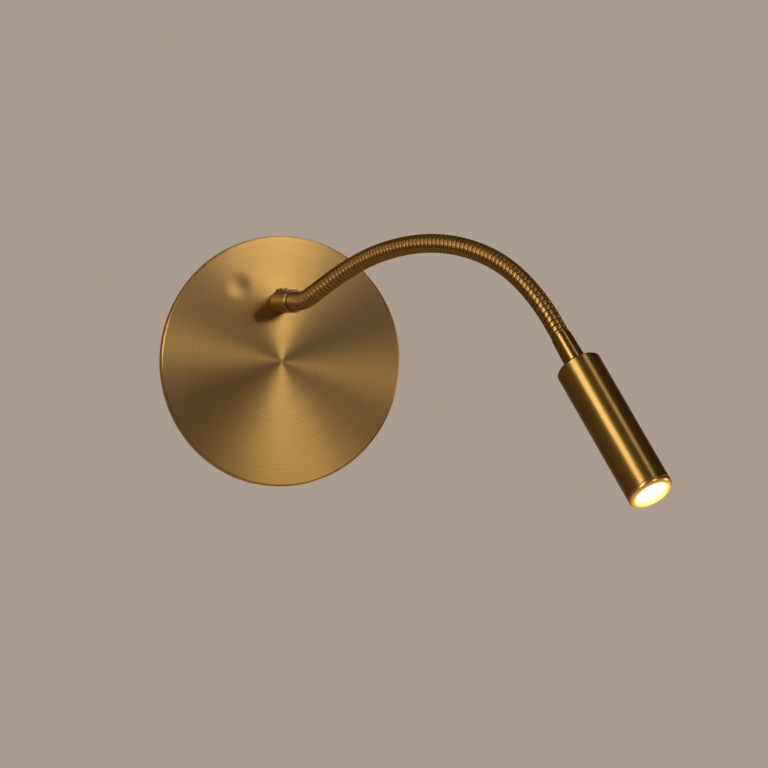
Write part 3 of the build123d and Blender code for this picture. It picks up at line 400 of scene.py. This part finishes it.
def circles_on_plate(material):
    """Distance from the plate's axis in mm, with a slow turn round it: steady along a circular line."""
    place = add_node(material, "TexCoord").outputs["Object"]
    flat = add_node(material, "VectorMath", {0: place, 1: (1000.0, 0.0, 1000.0)}, operation="MULTIPLY")
    radius = add_node(material, "VectorMath", {0: flat.outputs[0]}, operation="LENGTH")
    way = add_node(material, "VectorMath", {0: flat.outputs[0]}, operation="NORMALIZE")
    slow = add_node(material, "VectorMath", {0: way.outputs[0], 1: (0.9, 0.0, 0.9)}, operation="MULTIPLY")
    ring = add_node(material, "CombineXYZ", {"Y": radius.outputs["Value"]})
    both = add_node(material, "VectorMath", {0: slow.outputs[0], 1: ring.outputs[0]}, operation="ADD")
    return both.outputs[0]


def away_from_plate_axis(material):
    """The direction straight away from the plate's axis, square to the circular brush lines."""
    place = add_node(material, "TexCoord").outputs["Object"]
    away = add_node(material, "VectorMath", {0: place, 1: (1.0, 0.0, 1.0)}, operation="MULTIPLY")
    return add_node(material, "VectorTransform", {0: away.outputs[0]}, vector_type="VECTOR",
                    convert_from="OBJECT", convert_to="WORLD").outputs[0]


front_plate = surface("plate_face", pan_grid(), close_rows=True)
plate_brass = brushed_brass(
    "circular_brushed_brass", circles_on_plate, away_from_plate_axis,
    light="#AE8747", deep="#96723A", edge="#D8B98A", grain_mm=0.7, rough_low=0.34, rough_high=0.38,
    bump_mm=0.002, spread=0.88, turn=0.0, lacquer=(0.5, 0.3),
)
front_plate.data.materials.append(plate_brass)
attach(front_plate, "wall_unit")
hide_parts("front_plate")

# ---------------------------------------------------------------- collar and its screw
# A plain brass cylinder turned from bar, screwed on the nipple so that it clamps the plate, with a
# chamfer round its mouth. A small set screw on top holds the neck's plug.
collar_radius = 6.5
collar_length = 23.0
collar_bore = 5.35
collar_chamfer = 0.6
collar_edge = 0.1
nipple_depth = 8.5


def turned(name, outline, start, axis, side, angles=160):
    """An outline of (along, radius) in mm carried round an axis. Each point also keeps how far along the
    outline it is, with the cosine and sine of its angle, under the name finish."""
    axis, side = np.array(axis, float), np.array(side, float)
    axis /= np.linalg.norm(axis)
    side -= axis * (side @ axis)
    side /= np.linalg.norm(side)
    other = np.cross(axis, side)
    angle = np.linspace(0.0, 2 * np.pi, angles, endpoint=False)[None, :, None]
    along, radius = outline[:, :1, None], outline[:, 1:, None]
    out = side * np.cos(angle) + other * np.sin(angle)
    made = surface(name, np.array(start) + axis * along + out * radius, close_rows=True)
    travelled = np.concatenate([[0.0], np.cumsum(np.linalg.norm(np.diff(outline, axis=0), axis=1))])
    ones = np.ones((len(outline), angles))
    angle = angle[..., 0]
    finish = np.stack([ones * travelled[:, None], ones * np.cos(angle), ones * np.sin(angle)], -1)
    keep(made, "finish", finish)
    return made


def turned_lines(material):
    """The finish attribute with its angle slowed down: constant along a line that a lathe tool leaves."""
    kept = add_node(material, "Attribute", attribute_name="finish").outputs["Vector"]
    return add_node(material, "VectorMath", {0: kept, 1: (1.0, 0.6, 0.6)}, operation="MULTIPLY").outputs[0]


def drawn_lines(material):
    """The finish attribute with its length slowed down: constant along a line brushed down the tube."""
    kept = add_node(material, "Attribute", attribute_name="finish").outputs["Vector"]
    return add_node(material, "VectorMath", {0: kept, 1: (0.04, 14.0, 14.0)}, operation="MULTIPLY").outputs[0]


def round_the_axis(material):
    """The direction round the piece's own axis, from its UV map."""
    return add_node(material, "Tangent", direction_type="UV_MAP").outputs[0]


collar_brass = brushed_brass(
    "brushed_brass_round_the_collar", turned_lines, round_the_axis,
    light="#AE884E", deep="#8E6C36", edge="#A08450", grain_mm=0.25, rough_low=0.38, rough_high=0.44,
    bump_mm=0.0006, spread=0.9, turn=0.25, lacquer=(0.6, 0.2),
)
collar = turned(
    "collar_turned",
    rounded([
        (0.0, nipple_hole, collar_edge),
        (0.0, collar_radius, collar_edge),
        (collar_length - collar_chamfer, collar_radius, collar_edge),
        (collar_length, collar_radius - collar_chamfer, collar_edge),
        (collar_length, collar_bore, collar_edge),
        (nipple_depth, collar_bore, collar_edge),
        (nipple_depth, nipple_hole, collar_edge),
    ]),
    start=(0.0, -plate_front, neck_height), axis=(0.0, -1.0, 0.0), side=(1.0, 0.0, 0.0),
)
collar.data.materials.append(collar_brass)
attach(collar, "wall_unit")
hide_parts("collar")

screw_brass, shader = start_material("plain_turned_brass_screw", Metallic=1.0)
place = add_node(screw_brass, "TexCoord").outputs["Object"]
mottle(screw_brass, shader, place, 0.6, "#96723A", "#7A5A2A", 0.3, 0.42, 0.004)
dress(["collar_screw"], screw_brass)

# ---------------------------------------------------------------- gooseneck
# A flexible arm wound from two profiled wires, brass plated: wide rounded crests with a narrow groove
# between them every 3.2 mm. It is one winding, made here in lengths that meet in the middle of each
# link.
# The centre-line's points are given from the collar's mouth: right, out of the wall, up.
collar_mouth = plate_front + collar_length
neck_points = [
    (0.0, 0.0, 0.0), (1.2, 32.5, 4.5), (9.0, 58.0, 15.6), (19.6, 106.0, 27.3), (33.0, 151.0, 29.4),
    (48.2, 190.5, 19.6), (57.6, 220.5, 1.2), (64.4, 238.3, -19.0),
]
neck_start_way = np.array([0.0, -1.0, 0.0])
neck_end_way = np.array([0.238, -0.598, -0.7655])
neck_straight = 10.0
neck_radius = 5.0
neck_ribs = 84
neck_end_ribs = 3
neck_link_ribs = 6
neck_links = 13
neck_bore = 2.5
neck_run_past = 20.0
steps_between_points = 200
frame_half_step = 0.4
plug_length = 14.0
plug_radius = 5.3
plug_shoulder = 0.7
plug_neck_radius = 4.4
end_plug_length = 8.0
end_plug_radius = 4.6
ring_angles = 64
rings_a_rib = 18
groove_depth = 0.6
crest_fall = 0.2
groove_share = 0.24


def neck_line():
    """The neck's centre-line as the frame has it: a cubic spline with set end directions through the points,
    in steps of the distance between them, with a straight end on either side. Returns points and lengths."""
    way_in, way_out = [w / np.linalg.norm(w) for w in (neck_start_way, neck_end_way)]
    places = np.array([(x, -collar_mouth - out, neck_height + z) for x, out, z in neck_points])
    knots = places.copy()
    knots[0] += way_in * neck_straight
    knots[-1] -= way_out * neck_straight
    step = np.linalg.norm(np.diff(knots, axis=0), axis=1)
    count = len(knots)
    system = np.eye(count)
    wanted = np.zeros((count, 3))
    wanted[0], wanted[-1] = way_in, way_out
    slope = np.diff(knots, axis=0) / step[:, None]
    for i in range(1, count - 1):
        system[i, i - 1:i + 2] = step[i], 2 * (step[i - 1] + step[i]), step[i - 1]
        wanted[i] = 3 * (step[i] * slope[i - 1] + step[i - 1] * slope[i])
    speed = np.linalg.solve(system, wanted)
    t = np.linspace(0.0, 1.0, steps_between_points, endpoint=False)[:, None]
    curve = [
        (2 * t**3 - 3 * t**2 + 1) * knots[i] + (t**3 - 2 * t**2 + t) * step[i] * speed[i]
        + (3 * t**2 - 2 * t**3) * knots[i + 1] + (t**3 - t**2) * step[i] * speed[i + 1]
        for i in range(count - 1)
    ]
    before = places[:1] - way_in * neck_run_past
    after = places[-1:] + way_out * neck_run_past
    line = np.vstack([before, places[:1], *curve, knots[-1:], after])
    length = np.concatenate([[0.0], np.cumsum(np.linalg.norm(np.diff(line, axis=0), axis=1))])
    return line, length - neck_run_past


neck_track, neck_lengths = neck_line()
neck_length = neck_lengths[-1] - neck_run_past
rib_pitch = neck_length / neck_ribs


def neck_frame(station):
    """Point and the three directions (along, level, other) at lengths along the neck, as arrays."""
    def at(s):
        return np.stack([np.interp(s, neck_lengths, neck_track[:, k]) for k in range(3)], -1)

    along = at(station + frame_half_step) - at(station - frame_half_step)
    along /= np.linalg.norm(along, axis=1)[:, None]
    level = np.cross(along, (0.0, 0.0, 1.0))
    level /= np.linalg.norm(level, axis=1)[:, None]
    return at(station), along, level, np.cross(along, level)


def winding_radius(station, angle):
    """Radius of the winding: over one pitch a shallow arc falls off either side of the crest, then drops
    into the groove. The pitch climbs one rib for each turn, as a wound wire does, and runs plain in the
    plugs at either end."""
    phase = station / rib_pitch - angle / (2 * np.pi)
    off = np.abs(phase - np.round(phase)) * 2
    drop = np.clip((off - (1 - groove_share)) / groove_share, 0, 1)
    drop = drop * drop * (3 - 2 * drop)
    wound = neck_radius - crest_fall * off**2 - (groove_depth - crest_fall) * drop
    base_plug = np.where(station < -plug_shoulder, plug_radius, plug_neck_radius)
    return np.where(station < 0.0, base_plug, np.where(station > neck_length, end_plug_radius, wound))


def neck_piece(name, start, finish):
    """One length of winding from start to finish, closed over its ends onto its bore."""
    count = max(3, int(round((finish - start) / rib_pitch * rings_a_rib)) + 1)
    station = np.linspace(start, finish, count)
    angle = np.linspace(0.0, 2 * np.pi, ring_angles, endpoint=False)
    point, along, level, other = neck_frame(station)
    out = level[:, None] * np.cos(angle)[None, :, None] + other[:, None] * np.sin(angle)[None, :, None]
    radius = winding_radius(station[:, None], angle[None, :])
    outside = point[:, None] + out * radius[:, :, None]
    inside = point[:, None] + out * neck_bore
    made = surface(name, np.concatenate([outside, inside[::-1]]), close_rows=True)
    ones = np.ones((count, ring_angles))
    finish_rows = np.stack([ones * station[:, None], ones * np.cos(angle), ones * np.sin(angle)], -1)
    keep(made, "finish", np.concatenate([finish_rows, finish_rows[::-1]]))
    # Depth into the groove, kept for the material: it paints shade, with some patina, into the grooves.
    depth = (neck_radius - radius) / groove_depth
    painted_groove_shade_and_patina = np.stack([depth, depth, depth], -1)
    keep(made, "groove", np.concatenate([painted_groove_shade_and_patina, np.ones_like(painted_groove_shade_and_patina)]))
    return made


wound_brass, shader = start_material("antique_brass_plated_wound_wire", Metallic=1.0)
shader.inputs["Specular Tint"].default_value = linear("#8C6636")
shader.inputs["Anisotropic"].default_value = 0.84
shader.inputs["Anisotropic Rotation"].default_value = 0.25
connect(wound_brass, round_the_axis(wound_brass), shader.inputs["Tangent"])
depth = add_node(wound_brass, "Attribute", attribute_name="groove").outputs["Vector"]
depth = add_node(wound_brass, "SeparateXYZ", {0: depth}).outputs["X"]
drawn = add_node(wound_brass, "Attribute", attribute_name="finish").outputs["Vector"]
drawn = add_node(wound_brass, "VectorMath", {0: drawn, 1: (2.0, 3.0, 3.0)}, operation="MULTIPLY")
wear = add_node(wound_brass, "TexNoise", {"Vector": drawn.outputs[0], "Scale": 0.7, "Detail": 4.0})
crest = add_node(
    wound_brass, "Mix", {0: wear.outputs[0], 6: linear("#A3783C"), 7: linear("#BC9156")}, data_type="RGBA",
)
# Painted shade with some patina: deeper in the grooves the colour runs to near black.
dark = add_node(wound_brass, "MapRange", {0: depth, 1: 0.3, 2: 0.55}, interpolation_type="SMOOTHSTEP")
tint = add_node(
    wound_brass, "Mix", {0: dark.outputs[0], 6: crest.outputs[2], 7: linear("#2A1C0C")}, data_type="RGBA",
)
connect(wound_brass, tint.outputs[2], shader.inputs["Base Color"])
rough = add_node(wound_brass, "MapRange", {0: depth, 1: 0.33, 2: 0.6, 3: 0.42, 4: 0.6})
connect(wound_brass, rough.outputs[0], shader.inputs["Roughness"])

hinge_stations = [(neck_end_ribs + k * neck_link_ribs) * rib_pitch for k in range(neck_links + 1)]
link_middles = [(a + b) / 2 for a, b in zip(hinge_stations[:-1], hinge_stations[1:])]
piece_ends = [-plug_length] + link_middles + [neck_length + end_plug_length]
bend_margin = 1.3
for k in range(neck_links + 1):
    length = neck_piece(f"neck_winding_{k:02d}", piece_ends[k], piece_ends[k + 1])
    length.data.materials.append(wound_brass)
    bend_from = max(piece_ends[k], 0.0) + bend_margin
    bend_to = min(piece_ends[k + 1], neck_length) - bend_margin
    ends = neck_frame(np.array([bend_from, bend_to]))[0] / 1000.0
    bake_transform(length)
    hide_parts("neck_base" if k == 0 else f"neck_link_{k:02d}")
    if k == neck_links:
        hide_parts("neck_end")

# ---------------------------------------------------------------- ferrule
# A smooth brass sleeve, turned from bar, that takes the neck's plug and is held in the head by a nut.
# It widens slightly towards the head. Its fine turning lines run round it, sealed under clear lacquer.
neck_end = neck_points[-1]
head_start = (neck_end[0], -collar_mouth - neck_end[1], neck_height + neck_end[2])
head_axis = tuple(neck_end_way.tolist())
head_side = np.cross(head_axis, (0.0, 0.0, 1.0))
ferrule_length = 19.5
ferrule_mouth_radius = 5.35
ferrule_foot_radius = 5.9
ferrule_socket = 8.2
ferrule_socket_radius = 4.65
ferrule_edge = 0.1
ferrule_soft_edge = 0.15
ferrule_chamfer = 0.3
mouth_chamfer_drop = 0.15
foot_chamfer_drop = 0.25
tail_radius = 4.0
tail_length = 7.5
tail_edge = 0.2
turned_brass = brushed_brass(
    "fine_turned_brass", turned_lines, round_the_axis,
    light="#AA843D", deep="#967130", edge="#7A5628", grain_mm=0.3, rough_low=0.22, rough_high=0.26,
    bump_mm=0.0002, spread=0.3, turn=0.25, lacquer=(0.5, 0.15),
)
ferrule = turned(
    "ferrule_turned",
    rounded([
        (0.0, ferrule_socket_radius, ferrule_edge),
        (0.0, ferrule_mouth_radius - mouth_chamfer_drop, ferrule_edge),
        (ferrule_chamfer, ferrule_mouth_radius, ferrule_soft_edge),
        (ferrule_length - ferrule_chamfer, ferrule_foot_radius, ferrule_soft_edge),
        (ferrule_length, ferrule_foot_radius - foot_chamfer_drop, ferrule_edge),
        (ferrule_length, tail_radius, ferrule_edge),
        (ferrule_length + tail_length, tail_radius, tail_edge),
        (ferrule_length + tail_length, neck_bore, tail_edge),
        (ferrule_socket, neck_bore, ferrule_edge),
        (ferrule_socket, ferrule_socket_radius, ferrule_edge),
    ]),
    head_start, head_axis, head_side,
)
ferrule.data.materials.append(turned_brass)
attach(ferrule, "head")
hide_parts("neck_ferrule")

# ---------------------------------------------------------------- head tube
# A brass tube 24 mm across, bored out for the light source and closed behind, satin brushed down its
# length under clear lacquer, with a small chamfer round its back.
head_radius = 12.0
head_length = 80.0
head_back = 2.0
head_chamfer = 0.8
head_bore = 10.2
head_front_bore = 10.9
head_front_bore_depth = 38.0
tail_hole = 4.05
head_edge = 0.1
head_soft_edge = 0.3
seam_half_width = 0.1
seam_depth = 0.2
seam_edge = 0.05
head_front = ferrule_length + head_length
head_brass = brushed_brass(
    "lengthwise_satin_brass", drawn_lines, round_the_axis,
    light="#AA843D", deep="#967130", edge="#7A5628", grain_mm=1.0, rough_low=0.25, rough_high=0.28,
    bump_mm=0.0003, spread=0.3, turn=0.0, lacquer=(0.5, 0.15),
)
head_tube = turned(
    "head_tube_turned",
    rounded([
        (ferrule_length, tail_hole, head_edge),
        (ferrule_length, head_radius - head_chamfer, head_soft_edge),
        (ferrule_length + head_chamfer, head_radius, head_soft_edge),
        (head_front - seam_half_width, head_radius, head_edge),
        (head_front, head_radius - seam_depth, seam_edge),
        (head_front, head_front_bore, head_edge),
        (head_front - head_front_bore_depth, head_front_bore, head_edge),
        (head_front - head_front_bore_depth, head_bore, head_edge),
        (ferrule_length + head_back, head_bore, head_soft_edge),
        (ferrule_length + head_back, tail_hole, head_edge),
    ]),
    head_start, head_axis, head_side,
)
head_tube.data.materials.append(head_brass)
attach(head_tube, "head")
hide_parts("head_tube")

# ---------------------------------------------------------------- bezel ring
# The head's front ring, screwed in by its spigot, with a rounded nose and a lip that holds window and
# gasket. The inner half of its nose carries a painted glow: an emission that stands in for the window's light
# on it.
bezel_length = 3.0
bezel_front = head_front + bezel_length
bezel_lip = 1.1
bezel_nose = 1.3
bezel_nose_edge = 0.7
bezel_window_edge = 0.25
spigot_length = 6.0
spigot_radius = 10.85
spigot_bore = 10.35
window_radius = 9.6
painted_glow_outer_radius = 12.1
painted_glow_full_radius = 10.0


def off_head_axis(material):
    """Distance from the head's axis in metres, at rest and in every pose."""
    place = add_node(material, "TexCoord").outputs["Object"]
    start = tuple(c / 1000.0 for c in head_start)
    away = add_node(material, "VectorMath", {0: place, 1: start}, operation="SUBTRACT")
    cross = add_node(material, "VectorMath", {0: away.outputs[0], 1: head_axis}, operation="CROSS_PRODUCT")
    return add_node(material, "VectorMath", {0: cross.outputs[0]}, operation="LENGTH").outputs["Value"]


lip_brass_with_painted_glow = brushed_brass(
    "turned_brass_with_painted_window_glow", turned_lines, round_the_axis,
    light="#AA843D", deep="#967130", edge="#7A5628", grain_mm=0.3, rough_low=0.26, rough_high=0.3,
    bump_mm=0.0002, spread=0.3, turn=0.25, lacquer=(0.5, 0.2),
)
shader = lip_brass_with_painted_glow.node_tree.nodes["Principled BSDF"]
# Painted glow: an orange emission on the brass, full within 10 mm of the head's axis and gone by 12.1 mm,
# stands in for the window's light on the nose.
painted_glow_share = add_node(
    lip_brass_with_painted_glow, "MapRange", {0: off_head_axis(lip_brass_with_painted_glow), 1: painted_glow_outer_radius / 1000, 2: painted_glow_full_radius / 1000},
)
glow = add_node(
    lip_brass_with_painted_glow, "Mix", {0: painted_glow_share.outputs[0], 6: linear("#000000"), 7: linear("#FFB459")}, data_type="RGBA",
)
connect(lip_brass_with_painted_glow, glow.outputs[2], shader.inputs["Emission Color"])
shader.inputs["Emission Strength"].default_value = 1.0
bezel = turned(
    "bezel_turned",
    rounded([
        (head_front - spigot_length, spigot_bore, head_edge),
        (head_front - spigot_length, spigot_radius, head_edge),
        (head_front, spigot_radius, head_edge),
        (head_front, head_radius - seam_depth, seam_edge),
        (head_front + seam_half_width, head_radius, head_edge),
        (bezel_front - bezel_nose, head_radius, bezel_nose_edge),
        (bezel_front, head_radius - bezel_nose, bezel_nose_edge),
        (bezel_front, window_radius, bezel_window_edge),
        (bezel_front - bezel_lip, window_radius, head_edge),
        (bezel_front - bezel_lip, spigot_bore, head_edge),
    ]),
    head_start, head_axis, head_side,
)
bezel.data.materials.append(lip_brass_with_painted_glow)
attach(bezel, "head")
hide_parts("bezel_ring")

# ---------------------------------------------------------------- light source
# Heat sink and board are turned and milled aluminium. On them sits one warm white diode under yellow
# phosphor, in a cone of bright gold anodised aluminium, behind a flat frosted window on a silicone gasket.
aluminium, shader = start_material("turned_aluminium", Metallic=1.0)
place = add_node(aluminium, "TexCoord").outputs["Object"]
mottle(aluminium, shader, place, 0.4, "#D6D7D9", "#BFC1C4", 0.26, 0.4, 0.004)
dress(["heat_sink", "led_board"], aluminium)

warm_white = "#FFD9A0"
phosphor, shader = start_material("lit_yellow_phosphor", Metallic=0.0)
place = add_node(phosphor, "TexCoord").outputs["Object"]
mottle(phosphor, shader, place, 0.5, "#F2D060", "#E6BE45", 0.4, 0.55, 0.004)
shader.inputs["Emission Color"].default_value = linear(warm_white)
shader.inputs["Emission Strength"].default_value = 12.0
dress(["led_chip"], phosphor)

gold_anodised, shader = start_material("bright_gold_anodised_aluminium", Metallic=1.0)
place = add_node(gold_anodised, "TexCoord").outputs["Object"]
mottle(gold_anodised, shader, place, 1.2, "#F0C070", "#DFA54E", 0.14, 0.24, 0.004)
dress(["reflector"], gold_anodised)

bright_core = 5.7
dim_edge = 9.2
window, shader = start_material("frosted_window_lit_warm_white", Metallic=0.0, IOR=1.5)
place = add_node(window, "TexCoord").outputs["Object"]
mottle(window, shader, place, 0.3, "#FFF8EC", "#FBEFDC", 0.35, 0.5, 0.004)
shader.inputs["Transmission Weight"].default_value = 0.85
outward = add_node(
    window, "MapRange", {0: off_head_axis(window), 1: bright_core / 1000, 2: dim_edge / 1000},
    interpolation_type="SMOOTHSTEP",
)
glow = add_node(
    window, "Mix", {0: outward.outputs[0], 6: linear("#FFF1DA"), 7: linear("#BC7428")}, data_type="RGBA",
)
connect(window, glow.outputs[2], shader.inputs["Emission Color"])
shader.inputs["Emission Strength"].default_value = 2.6
dress(["lens"], window)

gasket_silicone, shader = start_material("clear_silicone_gasket", Metallic=0.0, IOR=1.41)
place = add_node(gasket_silicone, "TexCoord").outputs["Object"]
mottle(gasket_silicone, shader, place, 0.5, "#D6CFC0", "#C7BFAD", 0.5, 0.62, 0.005)
dress(["lens_gasket"], gasket_silicone)

# ---------------------------------------------------------------- studio
# A pale floor under the lamp, a pale backdrop that fades to a dim warm room behind the camera, a little
# lighter on its left, and five white soft boxes: low in front, above, two on the left and one on the right.
pale = "#AA9C8E"
dim_left = "#6A5C47"
dim_right = "#473F35"
floor_height = -1.0
floor_size = 3.0
past_the_lamp = (0.26, 0.966, 0.0)

ground, shader = start_material("pale_floor_paint", Metallic=0.0, Roughness=0.8)
place = add_node(ground, "TexCoord").outputs["Object"]
mottle(ground, shader, place, 8.0, "#DAD5CD", "#D4CFC6", 0.75, 0.85, 0.02)
corner = floor_size / 2
floor_mesh = bpy.data.meshes.new("floor")
floor_mesh.from_pydata(
    [(-corner, -corner, floor_height), (corner, -corner, floor_height), (corner, corner, floor_height),
     (-corner, corner, floor_height)], [], [(0, 1, 2, 3)],
)
floor = bpy.data.objects.new("floor", floor_mesh)
bpy.context.scene.collection.objects.link(floor)
floor.data.materials.append(ground)

world = bpy.data.worlds.new("studio")
bpy.context.scene.world = world
world.use_nodes = True
backdrop = world.node_tree.nodes["Background"]
way = add_node(world, "TexCoord").outputs["Generated"]
behind = add_node(world, "VectorMath", {0: way, 1: past_the_lamp}, operation="DOT_PRODUCT")
fade = add_node(
    world, "MapRange", {0: behind.outputs["Value"], 1: 0.6, 2: 0.95}, interpolation_type="SMOOTHSTEP",
)
side = add_node(world, "SeparateXYZ", {0: way}).outputs["X"]
side = add_node(world, "MapRange", {0: side, 1: -0.8, 2: 0.8})
room = add_node(
    world, "Mix", {0: side.outputs[0], 6: linear(dim_left), 7: linear(dim_right)}, data_type="RGBA",
)
shade = add_node(world, "Mix", {0: fade.outputs[0], 6: room.outputs[2], 7: linear(pale)}, data_type="RGBA")
connect(world, shade.outputs[2], backdrop.inputs["Color"])


lamp_middle = Vector((0.03, -0.12, 0.0))


def soft_box(name, place, size, power):
    """A rectangular white light at a place in metres, of a size in metres and a power in watts, that
    faces the lamp."""
    light = bpy.data.lights.new(name, "AREA")
    light.shape = "RECTANGLE"
    light.size, light.size_y = size
    light.energy = power
    made = bpy.data.objects.new(name, light)
    bpy.context.scene.collection.objects.link(made)
    made.location = place
    made.rotation_mode = "QUATERNION"
    made.rotation_quaternion = (lamp_middle - Vector(place)).to_track_quat("-Z", "Y")


soft_box("key_front", (0.52, -1.65, 0.42), (0.38, 0.28), 5.8)
soft_box("overhead", (0.35, -0.78, 1.27), (0.3, 0.3), 0.48)
soft_box("left_high", (-1.00, -0.74, 0.93), (0.55, 0.55), 3.5)
soft_box("left_low", (-1.04, -1.22, 0.25), (0.5, 0.5), 11.5)
soft_box("side_right", (1.45, -0.60, -0.05), (0.5, 0.5), 3.8)
